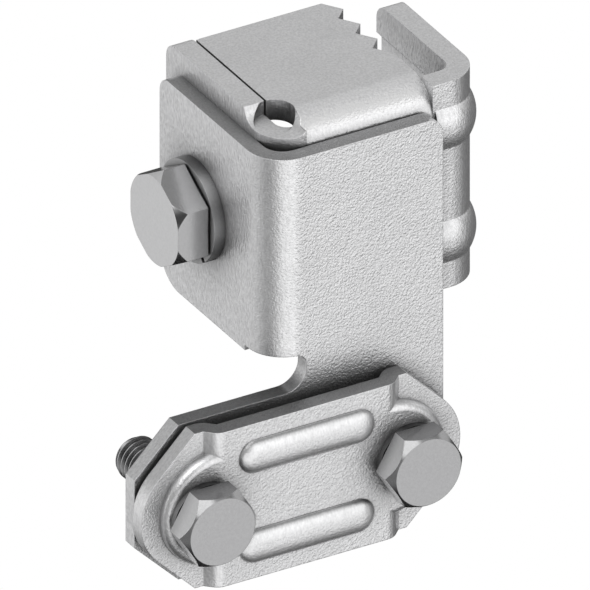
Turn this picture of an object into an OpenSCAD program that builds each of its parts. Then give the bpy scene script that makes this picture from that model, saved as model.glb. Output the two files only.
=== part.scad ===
// Disconnecting clamp of folded and pressed steel sheet, in millimetres.
// A hooked jaw body takes the edge of a steel section in its gap. A folded bracket hangs on the
// jaw body's side and ends in a bar, and a pressed cover plate clamps a flat conductor to it.
// The origin is the middle of the jaw gap's closed end: X runs across the jaw, Y runs out of the
// gap to the rear, and Z points up.

/* [Jaw body] */
// Height of the jaw body
jaw_h = 40; // [34:0.5:50]
// Thickness of the jaw body's sheet
jaw_t = 4; // [3:0.25:5]
// Inside radius of the jaw body's bends
jaw_bend_r = 2.5; // [1.5:0.25:4]
// Clear gap between the teeth and the hook
jaw_gap = 6; // [4.5:0.25:9]
// Length of the hook behind the web
hook_len = 25.3; // [22:0.1:32]
// Length of the side flange behind the web
side_len = 32; // [28:0.5:40]
// Length of the toothed top flange behind the web
top_len = 29.5; // [27:0.5:38]
// Radius of the free corners of the hook and of both side flanges
corner_r = 3; // [1:0.25:5]
// Width of the slit between the top flange and the side flange
slit_w = 0.4; // [0.3:0.05:1]
// Radius of the round relief where three bends meet
relief_r = 3.5; // [3:0.1:4.5]
// Depth of the relief below the top, in the folded corner
relief_drop = 2.7; // [2:0.1:3.5]

/* [Teeth and beads] */
// Number of notches in the top flange
notch_count = 3; // [1:1:3]
// Distance from one tooth to the next
tooth_pitch = 5.75; // [4.5:0.25:6.5]
// Depth of the notches
tooth_depth = 2.3; // [1.5:0.1:3]
// Width of the two stiffening beads round the hook
bead_w = 8; // [6:0.25:10]
// Height of the two stiffening beads
bead_h = 1.1; // [0.6:0.1:1.6]
// Distance between the two stiffening beads
bead_pitch = 22; // [18:0.5:24]
// Width of the groove behind each bead
groove_w = 6.4; // [4:0.2:7]
// Depth of the groove behind each bead
groove_d = 1; // [0.5:0.1:1.5]

/* [Bracket] */
// Thickness of the bracket's sheet
bracket_t = 3; // [2:0.25:4]
// Gap between the bracket's front plate and the jaw body's web
web_gap = 0.4; // [0.2:0.05:1]
// Inside radius of the bracket's bend
bracket_bend_r = 3.7; // [3:0.1:5]
// Height of the bracket from its top edge to the bottom of its bar
bracket_h = 75; // [72:0.5:90]
// Distance of the bracket's top edge below the jaw body's top
bracket_drop = 4.3; // [3.5:0.1:6]
// Distance of the front plate's free edge from the middle of the jaw gap
plate_inset = 2.9; // [1:0.1:5]
// Depth of the bracket's side flange
bracket_side_len = 36.4; // [33:0.1:42]
// Height of the bracket's side flange
bracket_side_h = 39.3; // [36:0.1:41]
// Step between the bottoms of the side flange and of the bend
bend_step = 1; // [0.5:0.1:2]
// Radius of the side flange's lower corner
lower_corner_r = 6.5; // [3:0.25:9]
// Length of the bar
bar_len = 60; // [56:0.5:70]
// Height of the bar
bar_h = 30; // [28:0.5:31]
// Chamfer at the bar's corners
bar_chamfer = 8.5; // [5:0.25:10]
// How far the relief slot reaches past the bend
slot_reach = 7.6; // [7:0.1:12]
// Lower corner radius at the end of the relief slot
slot_r = 4.2; // [2:0.1:4.4]
// Upper corner radius at the end of the relief slot
slot_top_r = 2; // [1:0.1:2.2]

/* [Cover plate] */
// Thickness of the cover plate's sheet
cover_t = 3; // [2:0.25:4]
// Length of the cover plate
cover_len = 62; // [60:0.5:68]
// Height of the cover plate
cover_h = 30; // [28:0.5:34]
// Gap between the bar and the cover plate's ends, before tightening
cover_gap = 1; // [0.3:0.1:2]
// How far the middle panel stands proud of the ends
cover_raise = 2; // [1:0.1:2.6]
// Distance between the two creases of the middle panel
panel_w = 38; // [34:0.5:39]
// Radius of the round seats that the bolts press on
seat_r = 10.8; // [10:0.1:12]
// How far the round seats' centres lie inside the bolt axes
seat_shift = 3.3; // [2:0.1:4]
// Rounding at the edge of the round seats
seat_round = 1.4; // [0.6:0.1:1.8]
// Length of the panel's two beads
rib_len = 26.2; // [18:0.2:28]
// Width of the panel's two beads
rib_w = 6.4; // [4:0.2:8]
// Height of the panel's two beads
rib_h = 1.2; // [0.6:0.1:1.6]
// Distance between the panel's two beads
rib_pitch = 17.4; // [14:0.2:19]

/* [Clamp bolt] */
// Thread size of the clamp bolt
clamp_d = 10; // [8:0.5:10.5]
// Length of the clamp bolt under its head
clamp_len = 40; // [34:0.5:41]
// Gap between the clamp bolt's tip and the hook when the bolt is fully in
clamp_tip_gap = 2.2; // [1.5:0.1:4]
// Width of the clamp bolt's head across its flats
clamp_af = 16; // [14:0.5:18]
// Height of the clamp bolt's head
clamp_head_h = 6.4; // [5:0.1:8]
// Distance of the clamp bolt behind the web
clamp_back = 15.9; // [12:0.1:18]
// Distance of the clamp bolt below the middle of the jaw body
clamp_below = 3.7; // [0:0.1:5]
// Outside diameter of the clamp bolt's lock washer
clamp_washer_d = 18.4; // [17:0.1:20]
// Thickness of the clamp bolt's lock washer
clamp_washer_t = 2.2; // [1.5:0.1:3]

/* [Cover bolts] */
// Thread size of the cover bolts
cover_bolt_d = 8; // [6:0.5:8.5]
// Length of the cover bolts under their heads
cover_bolt_len = 25; // [16:1:40]
// Width of the cover bolts' heads across their flats
cover_bolt_af = 13; // [11:0.5:13.5]
// Height of the cover bolts' heads
cover_bolt_head_h = 5.3; // [4:0.1:6]
// Distance between the cover bolts
bolt_pitch = 40; // [38:0.5:42]
// Outside diameter of the cover bolts' lock washers
cover_washer_d = 12.7; // [11:0.1:13]
// Thickness of the cover bolts' lock washers
cover_washer_t = 1.2; // [0.8:0.1:2]

/* [Fits] */
// Radial clearance of a bolt in its threaded hole
thread_fit = 0.09; // [0.05:0.01:0.1]
// Radial clearance of a bolt in a plain hole
hole_fit = 0.5; // [0.2:0.05:0.8]
// Radial clearance of a bolt in its lock washer
washer_fit = 0.2; // [0.1:0.05:0.3]
// Height of the round collar under each bolt's head
collar_h = 0.5; // [0.2:0.1:0.8]
// Width of the cut in the lock washers
washer_split = 0.9; // [0.4:0.1:2]

/* [Hidden] */
$fn = 64;
sheet_colour = [0.72, 0.73, 0.74];
bolt_colour = [0.66, 0.67, 0.68];
cut = 1;
head_slope = 1.4;
collar_share = 0.9;

// Jaw body
jaw_top = jaw_h / 2;
jaw_outer_r = jaw_bend_r + jaw_t;
hook_x = jaw_gap / 2;
hook_out = hook_x + jaw_t;
side_in = hook_x - (clamp_len + clamp_tip_gap - clamp_washer_t - bracket_t - jaw_t);
side_out = side_in - jaw_t;
top_left = side_in + slit_w;
top_right = -jaw_gap / 2;
notch_front = tooth_depth;

// Bracket
bracket_left = side_out - bracket_t;
bracket_front = -jaw_t - web_gap - bracket_t;
bracket_top = jaw_top - bracket_drop;
bracket_bottom = bracket_top - bracket_h;
bracket_outer_r = bracket_bend_r + bracket_t;
bracket_rear = bracket_front + bracket_side_len;
side_bottom = bracket_top - bracket_side_h;
slot_top = side_bottom + bend_step;
plate_right = -plate_inset;
bar_left = plate_right - bar_len;
bar_top = bracket_bottom + bar_h;
slot_end = bracket_left + slot_reach;

// Cover plate, centred on the bar
cover_x = plate_right - bar_len / 2;
cover_z = bracket_bottom + bar_h / 2;
cover_back = bracket_front - cover_gap;
cover_front = cover_back - cover_t;
panel_front = cover_front - cover_raise;
panel_back = cover_back - cover_raise;
seat_x = bolt_pitch / 2 - seat_shift;
end_r = (cover_len - bolt_pitch) / 2;

// Bolts
clamp_y = clamp_back;
clamp_z = -clamp_below;
clamp_seat = bracket_left - clamp_washer_t;
cover_seat = panel_front - cover_washer_t;

// Turns its children's Z to run to the right, along +X, with their Y kept.
module along_x(x, y, z) {
    translate([x, y, z]) rotate([0, 90, 0]) children();
}

// Turns its children's Z to run to the rear, along +Y, with their X kept.
module along_y(x, y, z) {
    translate([x, y, z]) rotate([-90, 0, 0]) children();
}

// A quarter ring about the origin, in the quadrant that the signs give.
module bend_ring(inner, outer, sx, sy) {
    intersection() {
        difference() {
            circle(outer);
            circle(inner);
        }
        translate([sx > 0 ? 0 : -outer, sy > 0 ? 0 : -outer]) square(outer);
    }
}

// A rectangle from one corner to the other.
module box2(low, high) {
    translate(low) square(high - low);
}

// A block from one corner to the other.
module box3(low, high) {
    translate(low) cube(high - low);
}

// What a rounded corner loses: it fills the square corner at the origin, in the quadrant
// that the signs give, and leaves a quarter circle.
module corner_waste(r, sx, sy) {
    difference() {
        translate([sx > 0 ? -r : -cut, sy > 0 ? -r : -cut]) square(r + cut);
        translate([-sx * r, -sy * r]) circle(r);
    }
}

// Waste of a corner at (y, z), seen from the side, right through a flange between two X planes.
module side_corner_waste(x_low, x_high, y, z, r, sz) {
    translate([x_low - cut, y, z]) rotate([90, 0, 90])
        linear_extrude(x_high - x_low + 2 * cut) corner_waste(r, 1, sz);
}

// Plan of the folded channel: side flange, web and hook.
module channel_plan() {
    centre_y = jaw_bend_r;
    box2([side_out, centre_y], [side_in, side_len]);
    translate([side_out + jaw_outer_r, centre_y]) bend_ring(jaw_bend_r, jaw_outer_r, -1, -1);
    box2([side_out + jaw_outer_r, -jaw_t], [hook_out - jaw_outer_r, 0]);
    translate([hook_out - jaw_outer_r, centre_y]) bend_ring(jaw_bend_r, jaw_outer_r, 1, -1);
    box2([hook_x, centre_y], [hook_out, hook_len]);
}

// Section of the top flange and its bend, in Y and Z, with the top at zero.
module top_section() {
    translate([jaw_bend_r, -jaw_outer_r]) bend_ring(jaw_bend_r, jaw_outer_r, -1, 1);
    box2([jaw_bend_r, -jaw_t], [top_len, 0]);
}

// Plan of what the barbed edge loses, with the tooth tips on X = 0 and the rear edge on Y = 0.
module barb_waste() {
    flank = tooth_pitch - notch_front;
    polygon([[0, -flank], [-tooth_depth, 0], [-tooth_depth, cut], [cut, cut], [cut, -flank]]);
    for (k = [0 : notch_count - 1]) translate([0, -flank - k * tooth_pitch])
        polygon([[0, 0], [-tooth_depth, -notch_front], [0, -tooth_pitch],
                 [cut, -tooth_pitch], [cut, 0]]);
}

// Section of a bead's outside: a segment of a circle on the sheet's face, rising along X.
module segment(width, height) {
    radius = (width * width / 4 + height * height) / (2 * height);
    intersection() {
        translate([height - radius, 0]) circle(radius);
        translate([-cut / 2, -width]) square([height + cut, 2 * width]);
    }
}

// Section of the groove behind a bead: a flat floor with sloping sides, going down along X.
module groove_section() {
    slope = 1.2 * groove_d;
    polygon([[-cut, -groove_w / 2], [0, -groove_w / 2], [groove_d, -groove_w / 2 + slope],
             [groove_d, groove_w / 2 - slope], [0, groove_w / 2], [-cut, groove_w / 2]]);
}

// Sweeps a section along the hook's inside or outside face: a stretch of web, bend and hook.
// The section's X points out of the jaw, and face is the face's distance from the bend's centre.
module round_hook(face, web_len, rear_len) {
    bend_x = hook_out - jaw_outer_r;
    translate([bend_x, jaw_bend_r, 0]) {
        rotate([0, 0, -90]) rotate_extrude(angle = 90) translate([face, 0]) children();
        translate([face, 0, 0]) rotate([-90, 0, 0]) linear_extrude(rear_len) children();
        translate([0, -face, 0]) rotate([0, -90, 0]) rotate([0, 0, -90])
            linear_extrude(web_len) children();
    }
}

// The flat pattern's round relief, wrapped into the corner of the three bends. It leaves the
// side flange's bend as a ledge below the top.
module corner_relief() {
    ledge = jaw_top - relief_drop;
    middle = ledge + relief_r;
    box3([side_out - cut, -jaw_t - cut, ledge], [side_in, jaw_bend_r, jaw_top + cut]);
    intersection() {
        translate([side_out - cut, jaw_bend_r, middle]) rotate([0, 90, 0])
            cylinder(h = jaw_t + 2 * cut, r = relief_r);
        box3([side_out - cut, jaw_bend_r - cut, ledge - cut],
             [side_in, jaw_bend_r + 2 * relief_r, jaw_top + cut]);
    }
    translate([side_in, jaw_bend_r, ledge]) cylinder(h = relief_drop + cut, r = relief_r);
    intersection() {
        along_y(side_in, -jaw_t - cut, middle) cylinder(h = jaw_outer_r + cut, r = relief_r);
        box3([side_in - cut, -jaw_t - cut, ledge - cut],
             [side_in + 2 * relief_r, jaw_bend_r, jaw_top + cut]);
    }
}

// One folded sheet: side flange, web, hook and toothed top flange, with two beads.
module jaw_body() {
    bead_start = plate_right + web_gap;
    web_run = hook_out - jaw_outer_r - bead_start;
    bend_end = side_in + jaw_bend_r;
    color(sheet_colour) difference() {
        union() {
            difference() {
                translate([0, 0, -jaw_h / 2]) linear_extrude(jaw_h) channel_plan();
                box3([bend_end, -jaw_t - cut, jaw_top - jaw_outer_r],
                     [top_right, jaw_bend_r, jaw_top + cut]);
            }
            difference() {
                translate([top_left, 0, jaw_top]) rotate([90, 0, 90])
                    linear_extrude(top_right - top_left) top_section();
                box3([top_left - cut, -jaw_t - cut, jaw_top - jaw_outer_r - cut],
                     [bend_end, jaw_bend_r, jaw_top + cut]);
                translate([side_in, jaw_bend_r, jaw_top - jaw_outer_r])
                    cylinder(h = jaw_outer_r + cut, r = relief_r);
            }
            for (side = [-1, 1]) translate([0, 0, side * bead_pitch / 2])
                round_hook(jaw_outer_r, web_run, hook_len - jaw_bend_r) segment(bead_w, bead_h);
        }
        for (side = [-1, 1]) translate([0, 0, side * bead_pitch / 2])
            round_hook(jaw_bend_r, web_run, hook_len) groove_section();
        corner_relief();
        translate([top_right, top_len, jaw_top - jaw_t - cut])
            linear_extrude(jaw_t + 2 * cut) barb_waste();
        for (sz = [-1, 1]) {
            side_corner_waste(side_out, side_in, side_len, sz * jaw_h / 2, corner_r, sz);
            side_corner_waste(hook_x, hook_out + bead_h, hook_len, sz * jaw_h / 2, corner_r, sz);
        }
        along_x(side_out - cut, clamp_y, clamp_z)
            cylinder(h = jaw_t + 2 * cut, d = clamp_d + 2 * thread_fit);
    }
}

// Plan of the bracket's fold: side flange, bend and front plate.
module bracket_plan() {
    centre = [bracket_left + bracket_outer_r, bracket_front + bracket_outer_r];
    box2([bracket_left, centre[1]], [bracket_left + bracket_t, bracket_rear]);
    translate(centre) bend_ring(bracket_bend_r, bracket_outer_r, -1, -1);
    box2([centre[0], bracket_front], [plate_right, bracket_front + bracket_t]);
}

// Front view of the bracket's sheet below the fold: the plate's foot and the bar.
module bar_outline() {
    difference() {
        union() {
            box2([slot_end - slot_r, bar_top - cut], [plate_right, slot_top]);
            box2([bar_left, bracket_bottom], [plate_right, bar_top]);
        }
        slot_outline();
        for (place = [[bar_left, bar_top], [bar_left, bracket_bottom], [plate_right, bracket_bottom]])
            translate(place) rotate(45) square(bar_chamfer * sqrt(2), center = true);
    }
}

// Front view of the relief slot between the fold and the bar, with both end corners round.
module slot_outline() {
    difference() {
        box2([bar_left - cut, bar_top], [slot_end, slot_top]);
        difference() {
            box2([slot_end - slot_r, bar_top - cut], [slot_end + cut, bar_top + slot_r]);
            translate([slot_end - slot_r, bar_top + slot_r]) circle(slot_r);
        }
        difference() {
            box2([slot_end - slot_top_r, slot_top - slot_top_r], [slot_end + cut, slot_top + cut]);
            translate([slot_end - slot_top_r, slot_top - slot_top_r]) circle(slot_top_r);
        }
    }
}

// One folded sheet: side flange, front plate and bar.
module bracket() {
    color(sheet_colour) difference() {
        union() {
            translate([0, 0, side_bottom]) linear_extrude(bracket_side_h) bracket_plan();
            translate([0, bracket_front + bracket_t, 0]) rotate([90, 0, 0])
                linear_extrude(bracket_t) bar_outline();
        }
        // the bend and the plate beside the slot end higher than the side flange
        translate([0, bracket_front + bracket_outer_r + bend_step, 0]) rotate([90, 0, 0])
            linear_extrude(bracket_outer_r + bend_step + cut) slot_outline();
        translate([plate_right, bracket_front + bracket_t + cut, bracket_top]) rotate([90, 0, 0])
            linear_extrude(bracket_t + 2 * cut) corner_waste(corner_r, 1, 1);
        side_corner_waste(bracket_left, side_out, bracket_rear, bracket_top, corner_r, 1);
        side_corner_waste(bracket_left, side_out, bracket_rear, side_bottom, lower_corner_r, -1);
        along_x(bracket_left - cut, clamp_y, clamp_z)
            cylinder(h = bracket_t + 2 * cut, d = clamp_d + 2 * hole_fit);
        for (side = [-1, 1])
            along_y(cover_x + side * bolt_pitch / 2, bracket_front - cut, cover_z)
                cylinder(h = bracket_t + 2 * cut, d = cover_bolt_d + 2 * thread_fit);
    }
}

// Plan of the right half of the cover plate's sheet, with the bar's side at Y = 0.
module jog_plan() {
    // front crease at the foot, back crease at the panel, and a wall at 45 degrees between them
    run = (cover_t - (cover_t - cover_raise) * cos(45)) / sin(45);
    foot = [panel_w / 2, -cover_t];
    knee = foot + [-run, cover_t - cover_raise];
    box2([0, -cover_t - cover_raise], [knee[0], -cover_raise]);
    box2([foot[0], -cover_t], [cover_len / 2, 0]);
    intersection() {
        translate(foot) circle(cover_t);
        translate(foot) polygon([[0, 0], [-cover_t, cover_t], [0, 2 * cover_t]]);
    }
    intersection() {
        translate(knee) circle(cover_t);
        translate(knee) polygon([[0, 0], [cover_t, -cover_t], [0, -2 * cover_t]]);
    }
    normal = cover_t * [-sin(45), cos(45)];
    polygon([foot, foot + normal, knee, knee - normal]);
}

// Front view of the cover plate: round ends about the bolts, with straight flanks to the edges.
module cover_outline() {
    flank = end_r * sqrt(2) - cover_h / 2;
    for (side = [-1, 1]) translate([side * bolt_pitch / 2, 0]) circle(end_r);
    half = bolt_pitch / 2;
    polygon([for (p = [[1, 1], [-1, 1], [-1, -1], [1, -1]]) each
        p[0] * p[1] > 0 ? [flank_foot(p, half), flank_top(p, half + flank)]
                        : [flank_top(p, half + flank), flank_foot(p, half)]]);
}

// Where a flank touches the round end, and where it meets the long edge.
function flank_foot(p, half) = [p[0] * (half + end_r * cos(45)), p[1] * end_r * sin(45)];
function flank_top(p, x) = [p[0] * x, p[1] * cover_h / 2];

// A round seat pressed forwards out of the sheet, with its face on Y = 0 and a rounded edge.
module seat() {
    rotate([90, 0, 0]) rotate_extrude() {
        box2([0, -cover_raise - cut], [seat_r - seat_round, 0]);
        box2([0, -cover_raise - cut], [seat_r, -seat_round]);
        translate([seat_r - seat_round, -seat_round]) bend_ring(0, seat_round, 1, 1);
    }
}

// A bead with round ends, standing on the plane Y = 0 and rising towards the front.
module rib(length, width, height) {
    radius = (width * width / 4 + height * height) / (2 * height);
    straight = length - width;
    intersection() {
        along_x(0, radius - height, 0) rotate_extrude() intersection() {
            union() {
                for (side = [-1, 1]) translate([0, side * straight / 2]) circle(radius);
                translate([0, -straight / 2]) square([radius, straight]);
            }
            translate([0, -length]) square([radius + cut, 2 * length]);
        }
        box3([-length, -2 * height, -width], [length, 0, width]);
    }
}

// One pressed sheet: raised panel with two beads, two round seats and two holes.
module cover_plate() {
    recess_r = seat_r - cover_t;
    color(sheet_colour) translate([cover_x, cover_back, cover_z]) difference() {
        union() {
            intersection() {
                union() {
                    for (side = [0, 1]) mirror([side, 0, 0])
                        translate([0, 0, -cover_h / 2]) linear_extrude(cover_h) jog_plan();
                    for (side = [-1, 1]) translate([side * seat_x, -cover_t - cover_raise, 0])
                        seat();
                }
                translate([0, cut, 0]) rotate([90, 0, 0])
                    linear_extrude(cover_t + cover_raise + 2 * cut) cover_outline();
            }
            for (side = [-1, 1]) translate([0, -cover_t - cover_raise, side * rib_pitch / 2])
                rib(rib_len, rib_w, rib_h);
        }
        for (side = [-1, 1]) {
            along_y(side * seat_x, -cover_raise, 0) cylinder(h = cover_raise + cut, r = recess_r);
            translate([0, -cover_raise, side * rib_pitch / 2])
                rib(rib_len - cover_t / 2, rib_w - cover_t / 2, rib_h);
            along_y(side * bolt_pitch / 2, -2 * cover_t - cover_raise, 0)
                cylinder(h = 3 * cover_t + cover_raise, d = cover_bolt_d + 2 * hole_fit);
        }
    }
}

// Hex bolt along +Z: its head is below Z = 0, with a chamfered face and a collar under it, and
// its shank is above.
module hex_bolt(diameter, length, across, head_h) {
    tip = 0.08 * diameter;
    face_r = 0.985 * across / 2;
    intersection() {
        translate([0, 0, -head_h]) cylinder(h = head_h - collar_h, d = across / cos(30), $fn = 6);
        translate([0, 0, -head_h])
            cylinder(h = head_slope * across, r1 = face_r, r2 = face_r + across);
    }
    translate([0, 0, -collar_h - cut]) cylinder(h = collar_h + cut, d = collar_share * across);
    cylinder(h = length - tip, d = diameter);
    translate([0, 0, length - tip]) cylinder(h = tip, d1 = diameter, d2 = diameter - 2 * tip);
}

// Lock washer along +Z from Z = 0, with its slanting cut turned to an angle.
module lock_washer(outer, inner, thickness, turn) {
    rotate(turn) difference() {
        rotate_extrude() box2([inner / 2, 0], [outer / 2, thickness]);
        translate([0, 0, thickness / 2]) rotate([20, 0, 0])
            translate([0, -washer_split / 2, -2 * thickness]) cube([outer, washer_split, 4 * thickness]);
    }
}

module clamp_bolt() {
    color(bolt_colour) along_x(clamp_seat, clamp_y, clamp_z)
        hex_bolt(clamp_d, clamp_len, clamp_af, clamp_head_h);
}

module clamp_washer() {
    color(bolt_colour) along_x(clamp_seat, clamp_y, clamp_z)
        lock_washer(clamp_washer_d, clamp_d + 2 * washer_fit, clamp_washer_t, -40);
}

module cover_bolt(side) {
    color(bolt_colour) along_y(cover_x + side * bolt_pitch / 2, cover_seat, cover_z)
        hex_bolt(cover_bolt_d, cover_bolt_len, cover_bolt_af, cover_bolt_head_h);
}

module cover_washer(side) {
    color(bolt_colour) along_y(cover_x + side * bolt_pitch / 2, cover_seat, cover_z)
        lock_washer(cover_washer_d, cover_bolt_d + 2 * washer_fit, cover_washer_t, 60);
}

jaw_body();
bracket();
cover_plate();
clamp_bolt();
clamp_washer();
cover_bolt(-1);  // cover_bolt_left
cover_bolt(1);  // cover_bolt_right
cover_washer(-1);  // cover_washer_left
cover_washer(1);  // cover_washer_right
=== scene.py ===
"""Dresses the disconnecting clamp: galvanised sheet, threaded bolts, camera, light and floor.

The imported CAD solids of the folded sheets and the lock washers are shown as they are, with
procedural materials. The three bolts are replaced by bolts with cut threads and chamfered heads,
and two smooth ribs lie over the cover's own. Places are in metres, in the part's own frame: X
across the jaw, Y to the rear and Z up. Sizes of bolts, ribs and surfaces are in millimetres.
"""

import logging
import math
from dataclasses import dataclass
from enum import Enum
from functools import reduce
from typing import Callable, Sequence, Union

import bmesh
import bpy
from mathutils import Matrix, Vector


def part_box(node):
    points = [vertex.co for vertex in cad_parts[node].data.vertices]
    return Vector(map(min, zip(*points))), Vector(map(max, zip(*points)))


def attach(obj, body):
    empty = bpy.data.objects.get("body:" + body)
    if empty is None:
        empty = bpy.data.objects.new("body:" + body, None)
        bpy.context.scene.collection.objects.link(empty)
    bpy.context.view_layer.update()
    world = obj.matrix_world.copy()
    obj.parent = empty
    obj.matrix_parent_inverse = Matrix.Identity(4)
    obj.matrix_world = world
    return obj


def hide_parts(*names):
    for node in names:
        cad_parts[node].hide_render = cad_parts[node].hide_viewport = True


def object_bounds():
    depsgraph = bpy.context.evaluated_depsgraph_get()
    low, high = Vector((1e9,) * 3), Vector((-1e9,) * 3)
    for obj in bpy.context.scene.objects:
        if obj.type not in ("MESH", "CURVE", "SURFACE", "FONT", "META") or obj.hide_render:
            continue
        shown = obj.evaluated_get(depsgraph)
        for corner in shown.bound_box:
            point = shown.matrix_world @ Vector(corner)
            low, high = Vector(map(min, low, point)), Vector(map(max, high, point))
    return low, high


LOG = logging.getLogger("disconnecting_clamp")
MM = 0.001
# Layer of each bolt corner's depth in its head, read by the steel's painted shade towards the head's
# foot.
DEPTH_LAYER = "head_depth"

# Short names of the types that the script's functions pass on
Socket = bpy.types.NodeSocket
Value = Union[bpy.types.NodeSocket, float]
Edge = bmesh.types.BMEdge

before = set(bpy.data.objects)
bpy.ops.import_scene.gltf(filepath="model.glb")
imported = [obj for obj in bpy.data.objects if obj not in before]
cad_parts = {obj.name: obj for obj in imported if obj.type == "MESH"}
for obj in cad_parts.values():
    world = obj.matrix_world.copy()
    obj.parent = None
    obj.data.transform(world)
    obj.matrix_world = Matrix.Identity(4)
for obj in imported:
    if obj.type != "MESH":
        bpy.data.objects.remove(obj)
CAD_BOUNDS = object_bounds()


class Slot(str, Enum):
    """Names of material slots, which this script does not use."""

    SHEET = "galvanised_sheet"
    BOLT = "bolt_steel"


class Heading(Enum):
    """Directions that a bolt's shank points in."""

    RIGHT = (1.0, 0.0, 0.0)
    REAR = (0.0, 1.0, 0.0)

    def turn(self) -> Matrix:
        """Gives the rotation that takes +Z to this direction."""
        return Vector(self.value).to_track_quat("Z", "Y").to_matrix().to_4x4()


@dataclass(frozen=True)
class BoltSpec:
    """Sizes of one hex bolt, in millimetres.

    Attributes:
        node: CAD node that the bolt stands for.
        body: CAD body that it moves with.
        heading: Direction from the head to the tip.
        across: Width of the head across its flats.
        head: Height of the head, with its collar.
        corner_turn: Angle of the head's first corner about the axis, in degrees.
        diameter: Outside diameter of the thread.
        pitch: Pitch of the thread.
        plain: Length of the plain neck under the head.
        chamfer: Length of the cone at the tip, a little more than the thread's depth.
        face_share: Radius of the round face, as a share of half the width across the flats.
        chamfer_slope: How far the head's corners fall per length outside the round face.
    """

    node: str
    body: str
    heading: Heading
    across: float
    head: float
    corner_turn: float
    diameter: float
    pitch: float
    plain: float
    chamfer: float
    face_share: float
    chamfer_slope: float


@dataclass(frozen=True)
class RibSpec:
    """Sizes of the cover's two pressed ribs, in millimetres.

    Attributes:
        length: Length over the round ends.
        width: Width of the rib.
        height: How far the rib stands out of the panel.
        pitch: Distance between the ribs.
        lap: How far the smooth rib stands proud of the CAD's own.
        foot: How deep the rib's foot sits in the panel.
    """

    length: float = 26.2
    width: float = 6.4
    height: float = 1.2
    pitch: float = 17.4
    lap: float = 0.04
    foot: float = 0.2


@dataclass(frozen=True)
class Pattern:
    """A noise on the metal's own coordinates.

    Attributes:
        scale: Features per metre.
        detail: Octaves of finer noise.
        stretch: Factors of the three axes, below one for streaks along that axis.
    """

    scale: float
    detail: float
    stretch: tuple[float, float, float] = (1.0, 1.0, 1.0)


@dataclass(frozen=True)
class SheetLook:
    """How one sheet's surfaces look.

    Attributes:
        name: Name of the material.
        level_shade_share: Share of the colour on level faces, such as the upper cut edges; below one it
            is a painted shade on faces that look up.
        low_shade_share: The same painted shade share, on level faces below SheetFinish.LOW_LEVEL.
        colour: Grey of the zinc, as a linear value.
        peel: Factor of the height of the orange peel and the streaks.
        level_metal: How metallic the level faces are.
        painted_rise_light: Factor of the colour where a bend turns from the front to the top: a painted
            highlight above one, a painted shade below one.
    """

    name: str
    level_shade_share: float
    low_shade_share: float = 0.36
    colour: float = 0.86
    peel: float = 1.0
    level_metal: float = 0.85
    painted_rise_light: float = 1.0


@dataclass(frozen=True)
class SteelLook:
    """How a bolt's or a washer's surface looks.

    Attributes:
        name: Name of the material.
        grey: Grey of the metal, as a linear value.
        roughness: Roughness of the surface.
    """

    name: str
    grey: float
    roughness: float


@dataclass(frozen=True)
class Lamp:
    """A square soft box.

    Attributes:
        name: Name of the lamp.
        place: Its place, from the camera's target.
        size: Length of its side, in metres.
        power: Its power, in watts.
    """

    name: str
    place: tuple[float, float, float]
    size: float
    power: float


@dataclass(frozen=True)
class Spot:
    """A round patch of the sky that metal reflects.

    Attributes:
        direction: Where it lies.
        rim: Cosine of the angle from its middle at which it begins.
        core: Cosine of the angle at which it is full.
        strength: Brightness that it adds, or takes away if below zero.
    """

    direction: tuple[float, float, float]
    rim: float
    core: float
    strength: float


CLAMP_BOLT = BoltSpec(
    node="clamp_bolt", body="clamp_screw", heading=Heading.RIGHT, across=16.0, head=6.4,
    corner_turn=90.0, diameter=10.0, pitch=1.5, plain=2.0, chamfer=0.93, face_share=1.03,
    chamfer_slope=1.9)
COVER_BOLTS = tuple(BoltSpec(
    node="cover_bolt_" + side, body="cover_screw_" + side, heading=Heading.REAR, across=13.0, head=5.3,
    corner_turn=0.0, diameter=8.0, pitch=1.25, plain=1.5, chamfer=0.77, face_share=0.965,
    chamfer_slope=1.4) for side in ("left", "right"))
BOLT_LOOK = SteelLook("bolt_zinc", grey=0.41, roughness=0.16)
# The cover washers' dark grey is a painted shade, for the deep shade round the cover bolts' heads.
WASHERS = {
    "clamp_washer": SteelLook("clamp_washer_zinc", grey=0.50, roughness=0.34),
    "cover_washer_left": SteelLook("cover_washer_left_shaded_zinc", grey=0.18, roughness=0.34),
    "cover_washer_right": SteelLook("cover_washer_right_shaded_zinc", grey=0.18, roughness=0.34),
}
# level_shade_share and low_shade_share are painted shade on the sheets' level faces; rise is a painted
# highlight on the jaw's front bend.
SHEETS = {
    "jaw_body": SheetLook("jaw_zinc", level_shade_share=0.90, low_shade_share=0.90, level_metal=0.22, painted_rise_light=1.25),
    "bracket": SheetLook("bracket_zinc", level_shade_share=0.68),
    "cover_plate": SheetLook("cover_zinc", level_shade_share=0.36, peel=0.8),
}
# The ribs' rise below one is a painted shade on their upper sides.
RIB_LOOK = SheetLook("rib_zinc", level_shade_share=0.36, colour=0.88, peel=0.5, painted_rise_light=0.52)


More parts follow.
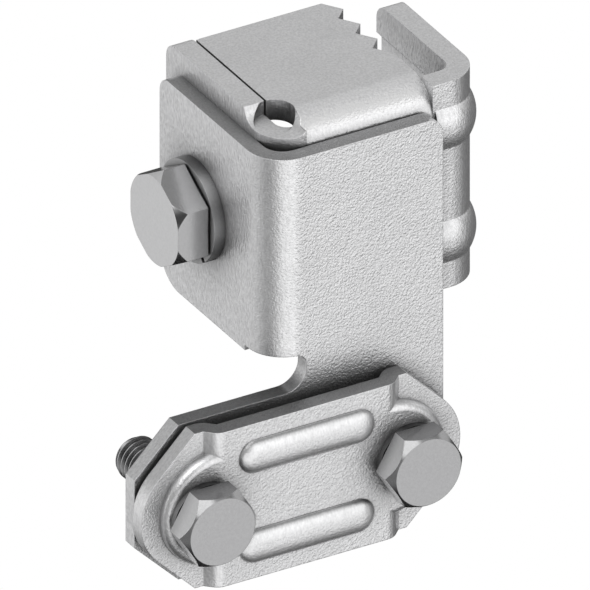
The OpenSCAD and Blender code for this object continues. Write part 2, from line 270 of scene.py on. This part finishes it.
class Graph:
    """A thin layer over a node tree, for a material or the world.

    Attributes:
        BEVEL_SAMPLES: Samples that find the edges to round.
        HOLLOW_SAMPLES: Samples that find how closed in a place is.
        OPENNESS: Range of openness over which the factor of a hollow rises to one.
        NOISE_ROUGHNESS: Share of each finer octave of noise.
    """

    BEVEL_SAMPLES = 6
    HOLLOW_SAMPLES = 8
    OPENNESS = (0.32, 0.92)
    NOISE_ROUGHNESS = 0.55

    def __init__(self, tree: bpy.types.NodeTree) -> None:
        """Takes a node tree and empties it.

        Args:
            tree: The node tree of a material or world.
        """
        self.tree = tree
        self.tree.nodes.clear()

    def add(self, kind: str, inputs: dict | None = None, **settings: object) -> bpy.types.Node:
        """Adds one node and sets or links its inputs.

        Args:
            kind: Type name of the node, without its "ShaderNode" start.
            inputs: Input names or numbers, each with a socket to link or a plain value.
            settings: Properties of the node.

        Returns:
            The new node.
        """
        node = self.tree.nodes.new("ShaderNode" + kind)
        for key, value in settings.items():
            setattr(node, key, value)
        for key, value in (inputs or {}).items():
            if isinstance(value, bpy.types.NodeSocket):
                self.tree.links.new(value, node.inputs[key])
            else:
                node.inputs[key].default_value = value
        return node

    def math(self, operation: str, *values: Value) -> Socket:
        """Gives the result of a math operation on values."""
        return self.add("Math", dict(enumerate(values)), operation=operation).outputs[0]

    def product(self, *values: Value) -> Socket:
        """Multiplies values."""
        return reduce(lambda left, right: self.math("MULTIPLY", left, right), values)

    def total(self, *values: Value) -> Socket:
        """Adds values up."""
        return reduce(lambda left, right: self.math("ADD", left, right), values)

    def mix(self, share: Value, start: Value, end: Value) -> Socket:
        """Blends two values, with the second one's share first."""
        return self.add("Mix", {0: share, 2: start, 3: end}).outputs[0]

    def split(self, vector: Socket) -> list[Socket]:
        """Gives the three parts of a vector."""
        return list(self.add("SeparateXYZ", {0: vector}).outputs)

    def ramp(self, value: Socket, low: float, high: float, out_low: float = 0.0,
             out_high: float = 1.0) -> Socket:
        """Maps a value evenly from one range to another, held at the ends.

        Args:
            value: The value to map.
            low: Value that gives out_low.
            high: Value that gives out_high.
            out_low: Result at the low end.
            out_high: Result at the high end.

        Returns:
            The result's socket.
        """
        node = self.add("MapRange", {"Value": value, "From Min": low, "From Max": high,
                                     "To Min": out_low, "To Max": out_high})
        return node.outputs[0]

    def steps(self, value: Socket, stops: Sequence[tuple[float, float]]) -> Socket:
        """Maps a value smoothly through a chain of greys.

        Args:
            value: The value to map, from zero to one.
            stops: Places and greys, in order.

        Returns:
            The result's socket.
        """
        node = self.add("ValToRGB", {0: value})
        node.color_ramp.interpolation = "EASE"
        while len(node.color_ramp.elements) < len(stops):
            node.color_ramp.elements.new(0.5)
        for element, (place, grey) in zip(node.color_ramp.elements, stops):
            element.position = place
            element.color = (grey, grey, grey, 1.0)
        return node.outputs[0]

    def noise(self, place: Socket, pattern: Pattern) -> Socket:
        """Adds a noise.

        Args:
            place: Coordinates in metres.
            pattern: The noise's pattern.

        Returns:
            The noise value's socket.
        """
        mapped = self.add("Mapping", {"Vector": place, "Scale": pattern.stretch})
        node = self.add("TexNoise", {"Vector": mapped.outputs[0], "Scale": pattern.scale,
                                     "Detail": pattern.detail, "Roughness": self.NOISE_ROUGHNESS})
        return node.outputs[0]

    def hollow(self, reach: float, least: float) -> Socket:
        """Gives a painted shade factor that falls in corners and under overhangs.

        Args:
            reach: How far away a surface still counts, in millimetres.
            least: The factor in the deepest corner.

        Returns:
            The factor's socket.
        """
        node = self.add("AmbientOcclusion", {"Distance": reach * MM}, samples=self.HOLLOW_SAMPLES)
        return self.ramp(node.outputs["AO"], *self.OPENNESS, least, 1.0)

    def relief(self, height: Socket, strength: float, depth: float, rounding: float) -> Socket:
        """Gives the normal of a bumpy surface with slightly round edges.

        Args:
            height: The bumps' height.
            strength: Strength of the bumps.
            depth: Depth of the bumps, in millimetres.
            rounding: Radius of the edges, in millimetres.

        Returns:
            The normal's socket.
        """
        soft = self.add("Bevel", {"Radius": rounding * MM}, samples=self.BEVEL_SAMPLES)
        node = self.add("Bump", {"Height": height, "Normal": soft.outputs[0], "Strength": strength,
                                 "Distance": depth * MM})
        return node.outputs[0]

    def tint(self, grey: Socket, blue: float) -> Socket:
        """Makes a grey a colour, with its blue raised by a factor."""
        return self.add("CombineColor", {0: grey, 1: grey, 2: self.product(grey, blue)}).outputs[0]


class MaterialGraph(Graph):
    """The node tree of a new material."""

    def __init__(self, name: str) -> None:
        """Makes the material and empties its node tree.

        Args:
            name: Name of the material.
        """
        self.material = bpy.data.materials.new(name)
        self.material.use_nodes = True
        super().__init__(self.material.node_tree)

    def finish(self, shader: bpy.types.Node) -> bpy.types.Material:
        """Links a shader to the output and gives the material."""
        self.add("OutputMaterial", {"Surface": shader.outputs[0]})
        return self.material


class SheetFinish:
    """Galvanised sheet: peel on the front faces, streaks on the sides and smooth bends.

    The ranges of normals are those over which a face comes to count as one of its kind.

    Attributes:
        PEEL, STREAK, GRAIN: Relief of faces to the front, to the side, and level.
        CLOUD: Wide, faint patches.
        FLAT: Range of the normal's largest part for a flat face.
        BEND_PEEL: Share of the peel that is left on bends.
        LEVEL_GRAIN: Height of the grain on level faces.
        LOW_LEVEL: Height below which level faces take the deeper painted shade of low_shade_share, in
            millimetres.
        CLOUD_RAMP, MOTTLE_RAMP: From a noise's range to the colour's factor.
        RISE_LOW, RISE_HIGH: Ranges of the normal's Z at which a rising bend begins and ends, the span of
            the painted light of SheetLook.rise.
        HOLLOW: Reach in millimetres and least factor of the shade in corners.
        BLUE: Factor of the colour's blue.
        RELIEF, DEPTH, ROUNDING: Strength, depth and edge radius of the relief.
        METAL, LEVEL: How metallic the sheet is, and the range of the normal's Z for level faces.
        BEND_ROUGHNESS, FLAT_ROUGHNESS: Roughness of bends and of flat faces.
    """

    PEEL = Pattern(2650.0, 1.5)
    STREAK = Pattern(2400.0, 1.0, (1.0, 1.0, 0.38))
    GRAIN = Pattern(3400.0, 1.0)
    CLOUD = Pattern(90.0, 2.0)
    FLAT = (0.975, 0.998)
    BEND_PEEL = 0.40
    LEVEL_GRAIN = 0.7
    LOW_LEVEL = -25.0
    CLOUD_RAMP = (0.3, 0.7, 0.97, 1.03)
    MOTTLE_RAMP = (0.3, 0.7, 0.90, 1.08)
    RISE_LOW, RISE_HIGH = (0.38, 0.62), (0.97, 0.80)
    HOLLOW = (10.0, 0.28)
    BLUE = 1.008
    RELIEF, DEPTH, ROUNDING = 0.70, 0.25, 0.25
    METAL, LEVEL = 0.85, (0.82, 0.99)
    BEND_ROUGHNESS, FLAT_ROUGHNESS = 0.30, 0.42

    def material(self, look: SheetLook) -> bpy.types.Material:
        """Makes the material of one sheet.

        Args:
            look: How the sheet looks.

        Returns:
            The material.
        """
        g = MaterialGraph(look.name)
        place = g.add("TexCoord")
        at, normal = place.outputs["Object"], g.split(place.outputs["Normal"])
        facing = [g.math("ABSOLUTE", part) for part in normal]
        side, front, level = [g.ramp(part, *self.FLAT) for part in facing]
        flat = g.math("MINIMUM", g.total(side, front, level), 1.0)

        peel, streak, grain, cloud = [
            g.noise(at, pattern) for pattern in (self.PEEL, self.STREAK, self.GRAIN, self.CLOUD)]
        height = g.total(g.product(peel, g.mix(flat, self.BEND_PEEL, 0.0)), g.product(peel, front),
                         g.product(streak, side), g.product(grain, level, self.LEVEL_GRAIN))

        # Painted shade on level faces, deeper on those below LOW_LEVEL.
        low = g.math("LESS_THAN", g.split(at)[2], self.LOW_LEVEL * MM)
        level_shade_share = g.mix(low, look.level_shade_share, look.low_shade_share)
        # Painted light factor on bends that rise from the front to the top.
        painted_rise_light = g.product(g.ramp(normal[2], *self.RISE_LOW), g.ramp(normal[2], *self.RISE_HIGH))
        # The grey also takes painted shade in corners and under overhangs from hollow, besides the
        # zinc's own patches and mottle.
        grey = g.product(g.mix(level, 1.0, level_shade_share), g.ramp(cloud, *self.CLOUD_RAMP),
                         g.ramp(g.mix(front, streak, grain), *self.MOTTLE_RAMP),
                         g.mix(painted_rise_light, 1.0, look.painted_rise_light), look.colour, g.hollow(*self.HOLLOW))
        return g.finish(g.add("BsdfPrincipled", {
            "Base Color": g.tint(grey, self.BLUE),
            "Metallic": g.ramp(facing[2], *self.LEVEL, self.METAL, look.level_metal),
            "Roughness": g.mix(flat, self.BEND_ROUGHNESS, self.FLAT_ROUGHNESS),
            "Normal": g.relief(height, self.RELIEF * look.peel, self.DEPTH, self.ROUNDING)}))


class SteelFinish:
    """Zinc-plated steel of the bolts and washers.

    The ranges of normals are those over which a face comes to count as one of its kind.

    Attributes:
        GRAIN, GRAIN_RAMP: Fine grain, and from its range to the colour's factor.
        LEFT_X, LEFT_Y: Ranges of the normal for faces that look to the left.
        LEFT_SHARE, LEFT_METAL: Factor of their colour, a painted light that brightens them, and how
            metallic they are.
        METAL: How metallic the rest is.
        TOP_SHADE_RAMP: From the normal's Z to the colour's factor, a painted shade that darkens faces
            that look up.
        WEDGE_X, WEDGE_Y, WEDGE_Z: Ranges of the normal for facets between left and front.
        WEDGE_SHADE: Factor of the wedges' colour, a painted dark reflection on the chamfer at the front
            of the clamp bolt's head.
        FOOT_SHADE_RAMP: From the height in a bolt's head to the colour's factor, a painted shade that
            darkens the facets towards the head's foot.
        HOLLOW: Reach in millimetres and least factor of the shade in corners.
        BLUE: Factor of the colour's blue.
        RELIEF, DEPTH, ROUNDING: Strength, depth and edge radius of the relief.
    """

    GRAIN, GRAIN_RAMP = Pattern(2200.0, 2.0), (0.3, 0.7, 0.96, 1.04)
    LEFT_X, LEFT_Y = (-0.20, -0.42), (-0.45, -0.25)
    LEFT_SHARE, LEFT_METAL = 1.68, 0.25
    METAL = 0.95
    TOP_SHADE_RAMP = (0.88, 0.99, 1.0, 0.62)
    WEDGE_X, WEDGE_Y, WEDGE_Z = (-0.15, -0.40), (-0.62, -0.70), (-0.10, 0.20)
    WEDGE_SHADE = 0.45
    FOOT_SHADE_RAMP = (0.40, 1.0, 1.0, 0.70)
    HOLLOW = (5.0, 0.08)
    BLUE = 1.01
    RELIEF, DEPTH, ROUNDING = 0.05, 0.10, 0.15

    def material(self, look: SteelLook) -> bpy.types.Material:
        """Makes the material of bolts or of a washer.

        Args:
            look: How the steel looks.

        Returns:
            The material.
        """
        g = MaterialGraph(look.name)
        place = g.add("TexCoord")
        x, y, z = g.split(place.outputs["Normal"])
        left = g.product(g.ramp(x, *self.LEFT_X), g.ramp(y, *self.LEFT_Y))
        wedge = g.product(g.ramp(x, *self.WEDGE_X), g.ramp(y, *self.WEDGE_Y), g.ramp(z, *self.WEDGE_Z))
        depth = g.add("Attribute", attribute_name=DEPTH_LAYER).outputs["Fac"]

        grain = g.noise(place.outputs["Object"], self.GRAIN)
        # The grey carries painted light on faces that look left, and painted shade on faces that look
        # up, on the chamfer wedges, towards the head's foot and in corners.
        grey = g.product(g.ramp(grain, *self.GRAIN_RAMP), look.grey, g.mix(left, 1.0, self.LEFT_SHARE),
                         g.ramp(z, *self.TOP_SHADE_RAMP), g.mix(wedge, 1.0, self.WEDGE_SHADE),
                         g.ramp(depth, *self.FOOT_SHADE_RAMP), g.hollow(*self.HOLLOW))
        return g.finish(g.add("BsdfPrincipled", {
            "Base Color": g.tint(grey, self.BLUE),
            "Metallic": g.mix(left, self.METAL, self.LEFT_METAL),
            "Roughness": look.roughness,
            "Normal": g.relief(grain, self.RELIEF, self.DEPTH, self.ROUNDING)}))


class FloorFinish:
    """A floor that is white to the camera, and pale to everything else.

    Attributes:
        PALE: Colour that light falls on.
        WHITE: Colour that the camera sees.
    """

    PALE = (0.8, 0.8, 0.8, 1.0)
    WHITE = (1.0, 1.0, 1.0, 1.0)

    def material(self) -> bpy.types.Material:
        """Makes the floor's material.

        Returns:
            The material.
        """
        g = MaterialGraph("floor_white")
        pale = g.add("BsdfDiffuse", {"Color": self.PALE})
        glow = g.add("Emission", {"Color": self.WHITE, "Strength": 1.0})
        seen = g.add("LightPath").outputs["Is Camera Ray"]
        return g.finish(g.add("MixShader", {0: seen, 1: pale.outputs[0], 2: glow.outputs[0]}))


class Bolt:
    """Builds a hex bolt with a cut thread as one closed mesh.

    Attributes:
        SIDES: Corners of each ring.
        THREAD: Places along one pitch, and how far from root to crest the thread has risen.
        THREAD_DEPTH: Depth of the thread, as a share of the pitch.
        COLLAR_HEIGHT: Height of the collar under the head, in millimetres.
        COLLAR_SHARE: Radius of the collar, as a share of the width across the flats.
        MERGE: Corners closer than this are one, in millimetres.
        SLIVER: Edges shorter than this go, in millimetres.
        SHARP: Edges steeper than this stay sharp, in degrees.
    """

    SIDES = 96
    THREAD = ((0.0, 0.0), (0.10, 0.0), (0.48, 1.0), (0.60, 1.0))
    THREAD_DEPTH = 0.6134
    COLLAR_HEIGHT = 0.5
    COLLAR_SHARE = 0.45
    MERGE = 0.001
    SLIVER = 0.0005
    SHARP = 20.0

    def __init__(self, spec: BoltSpec) -> None:
        """Starts an empty mesh, and takes the bolt's place and length from its CAD node.

        Args:
            spec: Sizes of the bolt.
        """
        self.spec = spec
        self.mesh = bmesh.new()
        low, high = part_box(spec.node)
        centre = (low + high) / 2
        direction = Vector(spec.heading.value)
        along = (high - low).dot(direction)
        self.length = along / MM - spec.head
        self.seat = centre - direction * (along / 2 - spec.head * MM)

    def _ring(self, radius: Callable[[float], float], height: Callable[[float], float]) -> list[Edge]:
        """Adds a closed ring of edges.

        Args:
            radius: Radius at an angle, in millimetres.
            height: Height at an angle, in millimetres.

        Returns:
            The ring's edges.
        """
        angles = [math.tau * k / self.SIDES for k in range(self.SIDES)]
        corners = [self.mesh.verts.new((radius(a) * math.cos(a), radius(a) * math.sin(a), height(a)))
                   for a in angles]
        return [self.mesh.edges.new((corners[k - 1], corners[k])) for k in range(self.SIDES)]

    def _hex(self, angle: float) -> float:
        """Gives the distance from the axis to the hexagon's side at an angle."""
        sector = (angle - math.radians(self.spec.corner_turn)) % (math.pi / 3) - math.pi / 6
        return self.spec.across / 2 / math.cos(sector)

    def _head(self) -> list[list[Edge]]:
        """Adds the head's rings from the round face down to the neck.

        Returns:
            The rings, in order.
        """
        face = self.spec.across / 2 * self.spec.face_share
        top = -self.spec.head

        def brim(angle: float) -> float:
            """Gives the height of the chamfer's edge at an angle."""
            return top + self.spec.chamfer_slope * max(0.0, self._hex(angle) - face)

        neck = self.spec.diameter / 2
        collar = self.spec.across * self.COLLAR_SHARE
        return [self._ring(lambda a: min(face, self._hex(a)), lambda a: top),
                self._ring(self._hex, brim),
                self._ring(self._hex, lambda a: -self.COLLAR_HEIGHT),
                self._ring(lambda a: collar, lambda a: -self.COLLAR_HEIGHT),
                self._ring(lambda a: collar, lambda a: 0.0),
                self._ring(lambda a: neck, lambda a: 0.0),
                self._ring(lambda a: neck, lambda a: self.spec.plain)]

    def _turn(self, start: float, crest: float) -> list[Edge]:
        """Adds one turn of the thread, which runs out at the neck and falls to the tip's cone.

        Args:
            start: Where the turn begins, in pitches from the neck.
            crest: How far from root to crest the turn lies.

        Returns:
            The turn's edges.
        """
        spec = self.spec
        outer = spec.diameter / 2
        cut = self.THREAD_DEPTH * spec.pitch * (1.0 - crest)

        def height(angle: float) -> float:
            """Gives the turn's height at an angle, held between the neck and the tip."""
            z = spec.plain + spec.pitch * (start + angle / math.tau)
            return min(max(z, spec.plain), self.length)

        def radius(angle: float) -> float:
            """Gives the turn's radius at an angle.

            Args:
                angle: Angle about the axis, in radians.

            Returns:
                The radius in millimetres.
            """
            run_out = max(0.0, 1.0 - (height(angle) - spec.plain) / spec.pitch)
            cone = outer - spec.chamfer + self.length - height(angle)
            return min(outer - cut * (1.0 - run_out), cone)

        return self._ring(radius, height)

    def _thread(self) -> list[list[Edge]]:
        """Adds the thread's turns from the neck to the tip, and gives them in order."""
        turns = math.ceil((self.length - self.spec.plain) / self.spec.pitch) + 1
        return [self._turn(turn + share, crest) for turn in range(-1, turns)
                for share, crest in self.THREAD]

    def _skin(self, turns: list[list[Edge]]) -> None:
        """Joins the thread's turns into one helical skin, whose first turn lies on the neck's ring.

        A turn ends one pitch above its start, so its last side leads to the start of the next.

        Args:
            turns: The thread's turns, in order.
        """
        mesh = self.mesh
        columns = [[edge.verts[1] for edge in turn] for turn in turns]
        for turn in turns:
            mesh.edges.remove(turn[0])
        step = len(self.THREAD)
        for k, (lower, upper) in enumerate(zip(columns, columns[1:])):
            for a in range(self.SIDES - 1):
                mesh.faces.new((lower[a], lower[a + 1], upper[a + 1], upper[a]))
            if k + 1 + step < len(columns):
                mesh.faces.new((lower[-1], columns[k + step][0], columns[k + 1 + step][0], upper[-1]))

    def _close(self) -> None:
        """Merges the mesh's doubles, closes the head's face and the tip, and turns faces outwards."""
        mesh = self.mesh
        bmesh.ops.remove_doubles(mesh, verts=mesh.verts, dist=self.MERGE)
        bmesh.ops.dissolve_degenerate(mesh, edges=mesh.edges, dist=self.SLIVER)
        bmesh.ops.holes_fill(mesh, edges=[e for e in mesh.edges if e.is_boundary], sides=0)
        bmesh.ops.recalc_face_normals(mesh, faces=mesh.faces)

    def _mark_depth(self) -> None:
        """Writes how far down its head each corner lies, for the painted shade that darkens the head
        towards its foot.
        """
        layer = self.mesh.verts.layers.float.new(DEPTH_LAYER)
        for vertex in self.mesh.verts:
            vertex[layer] = 1.0 + vertex.co.z / self.spec.head if vertex.co.z < 0.0 else 0.0

    def build(self, material: bpy.types.Material) -> bpy.types.Object:
        """Makes the bolt's object and lets it ride on its body in place of the CAD node.

        Args:
            material: The bolt's material.

        Returns:
            The bolt's object.
        """
        mesh = self.mesh
        head, thread = self._head(), self._thread()
        for lower, upper in zip(head, head[1:]):
            bmesh.ops.bridge_loops(mesh, edges=lower + upper)
        self._skin(thread)
        self._close()
        self._mark_depth()
        place = Matrix.Translation(self.seat) @ self.spec.heading.turn() @ Matrix.Scale(MM, 4)
        bmesh.ops.transform(mesh, matrix=place, verts=mesh.verts)
        bolt = to_object(mesh, self.spec.node + "_dressed", material, self.SHARP)
        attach(bolt, self.spec.body)
        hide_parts(self.spec.node)
        return bolt


class Ribs:
    """Lays full round ribs with steep sides over the cover's plain ones.

    Attributes:
        SEGMENTS: Segments of the ball that a rib starts from, round its outline and over its back.
        MIDDLE: Corners nearer to the middle than this stay there, in millimetres.
        SHARP: Edges steeper than this stay sharp, in degrees.
    """

    SEGMENTS = (48, 24)
    MIDDLE = 0.01
    SHARP = 40.0

    def __init__(self, spec: RibSpec) -> None:
        """Finds the panel's middle.

        Args:
            spec: Sizes of the ribs.
        """
        self.spec = spec
        low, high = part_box("cover_plate")
        self.middle = Vector(((low.x + high.x) / 2, low.y + spec.height * MM, (low.z + high.z) / 2))

    def _shape(self) -> bmesh.types.BMesh:
        """Makes one rib: a ball drawn out along X, flattened, and cut off behind its foot.

        Returns:
            The rib's mesh, in millimetres and round the origin.
        """
        spec = self.spec
        half = spec.width / 2 + spec.lap
        spread = (spec.length - spec.width) / 2
        outline, back = self.SEGMENTS
        mesh = bmesh.new()
        bmesh.ops.create_uvsphere(mesh, u_segments=outline, v_segments=back, radius=half)
        bmesh.ops.rotate(mesh, matrix=Matrix.Rotation(math.pi / 2, 3, "X"), verts=mesh.verts)
        for way in (-1, 1):
            ends = [v for v in mesh.verts if v.co.x * way > self.MIDDLE]
            bmesh.ops.translate(mesh, vec=(way * spread, 0.0, 0.0), verts=ends)
        bmesh.ops.scale(mesh, vec=(1.0, (spec.height + spec.lap) / half, 1.0), verts=mesh.verts)
        cut = bmesh.ops.bisect_plane(mesh, geom=mesh.verts[:] + mesh.edges[:] + mesh.faces[:],
                                     plane_co=(0.0, spec.foot, 0.0), plane_no=(0.0, 1.0, 0.0),
                                     clear_outer=True)
        rim = [e for e in cut["geom_cut"] if isinstance(e, bmesh.types.BMEdge)]
        bmesh.ops.holes_fill(mesh, edges=rim, sides=0)
        return mesh

    def build(self, material: bpy.types.Material) -> list[bpy.types.Object]:
        """Makes both ribs and lets them ride on the cover.

        Args:
            material: The ribs' material.

        Returns:
            The ribs' objects.
        """
        ribs = []
        for name, side in (("lower", -1), ("upper", 1)):
            mesh = self._shape()
            centre = self.middle + Vector((0.0, 0.0, side * self.spec.pitch / 2 * MM))
            bmesh.ops.transform(mesh, matrix=Matrix.Translation(centre) @ Matrix.Scale(MM, 4),
                                verts=mesh.verts)
            rib = to_object(mesh, "cover_rib_" + name, material, self.SHARP)
            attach(rib, "cover")
            ribs.append(rib)
        return ribs


def to_object(mesh: bmesh.types.BMesh, name: str, material: bpy.types.Material,
              sharp: float) -> bpy.types.Object:
    """Turns a finished mesh into an object at the origin, smooth but for its sharp edges.

    Args:
        mesh: The mesh, in metres. It is freed.
        name: Name of the object.
        material: Its only material.
        sharp: Edges steeper than this angle stay sharp, in degrees.

    Returns:
        The new object.
    """
    for face in mesh.faces:
        face.smooth = True
    for edge in mesh.edges:
        edge.smooth = len(edge.link_faces) == 2 and edge.calc_face_angle(0.0) < math.radians(sharp)
    data = bpy.data.meshes.new(name)
    mesh.to_mesh(data)
    mesh.free()
    data.materials.append(material)
    made = bpy.data.objects.new(name, data)
    bpy.context.scene.collection.objects.link(made)
    return made


def paint(node: str, material: bpy.types.Material) -> bpy.types.Object:
    """Gives a CAD node's slots a material, and gives its object.

    Args:
        node: Name of the CAD node.
        material: The material for all of its slots.

    Returns:
        The node's object.
    """
    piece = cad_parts[node]
    for place in piece.material_slots:
        place.material = material
    return piece


class Studio:
    """Camera, soft boxes, surroundings and floor.

    Attributes:
        TARGET: Point that the camera looks at.
        AZIMUTH, ELEVATION: Angles of the camera, in degrees.
        VIEW_WIDTH: Width of the picture.
        DISTANCE: Distance from the target to the camera.
        CLIP: Nearest and farthest distance that the camera shows.
        LAMPS: The soft boxes, which all face the target.
        RING: Places round the horizon, from 0 to 1 with the front at 0.5, and their brightness.
        SKY: Places in the sky, from 0 at the front left to 1 at the rear right, and theirs.
        SPOTS: Bright and dark patches of the sky.
        SLANT, ACROSS: How far the sky's places follow X, and their range.
        GROUND, HORIZON: Ranges of height where the ring begins and where the sky takes over.
        NADIR: Brightness reflected straight below.
        EVEN: Brightness of the light from all around.
        FLOOR_DROP, FLOOR_SIZE: How far the floor lies below the clamp, and half of its width.
    """

    TARGET = Vector((-31.70, -7.40, -10.57)) * MM
    AZIMUTH, ELEVATION = -30.0, 30.0
    VIEW_WIDTH = 99.3 * MM
    DISTANCE = 0.6
    CLIP = (0.01, 10.0)
    LAMPS = (
        Lamp("key", (0.30, -0.70, 0.24), size=0.70, power=1.15),
        Lamp("left", (-0.70, 0.30, 0.05), size=0.40, power=0.55),
        Lamp("top", (-0.05, 0.10, 0.80), size=0.60, power=0.20),
    )
    RING = ((0.0, 0.34), (0.083, 0.74), (0.20, 0.56), (0.294, 0.28), (0.35, 0.40), (0.42, 1.08),
            (0.52, 1.15), (0.583, 1.11), (0.62, 0.78), (0.655, 0.36), (0.72, 0.08), (0.94, 0.08))
    SKY = ((0.0, 0.36), (0.08, 0.40), (0.24, 0.66), (0.40, 0.54), (0.69, 0.34), (0.97, 0.14))
    SPOTS = (
        Spot((-0.40, -0.37, 0.84), rim=0.84, core=0.95, strength=1.35),
        Spot((0.93, 0.04, 0.36), rim=0.95, core=0.985, strength=0.5),
        Spot((-0.50, -0.78, 0.38), rim=0.86, core=0.95, strength=-0.12),
    )
    SLANT, ACROSS = 0.6, (-0.6, 1.0)
    GROUND, HORIZON = (-0.84, -0.56), (-0.20, 0.15)
    NADIR = 0.02
    EVEN = 0.68
    FLOOR_DROP, FLOOR_SIZE = 0.02, 6.0

    def camera(self) -> None:
        """Makes the orthographic camera at the photo's angle."""
        azimuth, elevation = math.radians(self.AZIMUTH), math.radians(self.ELEVATION)
        back = Vector((math.sin(azimuth) * math.cos(elevation), -math.cos(azimuth) * math.cos(elevation),
                       math.sin(elevation)))
        data = bpy.data.cameras.new("camera")
        data.type = "ORTHO"
        data.ortho_scale = self.VIEW_WIDTH
        data.clip_start, data.clip_end = self.CLIP
        camera = bpy.data.objects.new("camera", data)
        camera.location = self.TARGET + back * self.DISTANCE
        camera.rotation_euler = (-back).to_track_quat("-Z", "Y").to_euler()
        bpy.context.scene.collection.objects.link(camera)
        bpy.context.scene.camera = camera

    def lights(self) -> None:
        """Makes the soft boxes."""
        for lamp in self.LAMPS:
            data = bpy.data.lights.new(lamp.name, "AREA")
            data.size = lamp.size
            data.energy = lamp.power
            light = bpy.data.objects.new(lamp.name, data)
            light.location = self.TARGET + Vector(lamp.place)
            light.rotation_euler = (-Vector(lamp.place)).to_track_quat("-Z", "Y").to_euler()
            bpy.context.scene.collection.objects.link(light)

    def surroundings(self) -> None:
        """Makes the world: even light, and a studio of bright and dark areas for reflections."""
        world = bpy.data.worlds.new("surroundings")
        world.use_nodes = True
        g = Graph(world.node_tree)
        whole = g.add("TexCoord").outputs["Generated"]
        east, north, up = g.split(whole)
        bearing = g.math("ARCTAN2", east, g.math("MULTIPLY", north, -1.0))
        ring = g.steps(g.ramp(bearing, -math.pi, math.pi), self.RING)
        across = g.math("MULTIPLY_ADD", east, self.SLANT, north)
        sky = g.steps(g.ramp(across, *self.ACROSS), self.SKY)
        for spot in self.SPOTS:
            middle = Vector(spot.direction).normalized()
            facing = g.add("VectorMath", {0: whole, 1: middle}, operation="DOT_PRODUCT")
            sky = g.total(sky, g.ramp(facing.outputs["Value"], spot.rim, spot.core, 0.0, spot.strength))
        low = g.mix(g.ramp(up, *self.GROUND), self.NADIR, ring)
        tone = g.mix(g.ramp(up, *self.HORIZON), low, sky)
        glossy = g.add("LightPath").outputs["Is Glossy Ray"]
        glow = g.add("Background", {"Color": (1.0, 1.0, 1.0, 1.0),
                                    "Strength": g.mix(glossy, self.EVEN, tone)})
        g.add("OutputWorld", {"Surface": glow.outputs[0]})
        bpy.context.scene.world = world

    def floor(self, lowest: float, material: bpy.types.Material) -> None:
        """Makes the floor under the clamp.

        Args:
            lowest: Z of the clamp's lowest point.
            material: The floor's material.
        """
        mesh = bmesh.new()
        bmesh.ops.create_grid(mesh, x_segments=1, y_segments=1, size=self.FLOOR_SIZE)
        bmesh.ops.translate(mesh, vec=(0.0, 0.0, lowest - self.FLOOR_DROP), verts=mesh.verts)
        floor = to_object(mesh, "floor", material, sharp=180.0)
        floor.visible_glossy = False

    def build(self, lowest: float) -> None:
        """Makes the whole studio, and leaves the picture's colours plain.

        Args:
            lowest: Z of the clamp's lowest point.
        """
        self.camera()
        self.lights()
        self.surroundings()
        self.floor(lowest, FloorFinish().material())
        bpy.context.scene.view_settings.view_transform = "Standard"


def main() -> None:
    """Dresses the frame, reports its pieces and sets the scene."""
    logging.basicConfig(level=logging.INFO)
    zinc, plating = SheetFinish(), SteelFinish()
    pieces = [paint(node, zinc.material(look)) for node, look in SHEETS.items()]
    pieces += Ribs(RibSpec()).build(zinc.material(RIB_LOOK))
    pieces += [paint(node, plating.material(look)) for node, look in WASHERS.items()]
    steel = plating.material(BOLT_LOOK)
    pieces += [Bolt(spec).build(steel) for spec in (CLAMP_BOLT, *COVER_BOLTS)]
    for piece in pieces:
        LOG.info("piece %s: %d faces", piece.name, len(piece.data.polygons))
    Studio().build(CAD_BOUNDS[0].z)


if __name__ == "__main__":
    main()
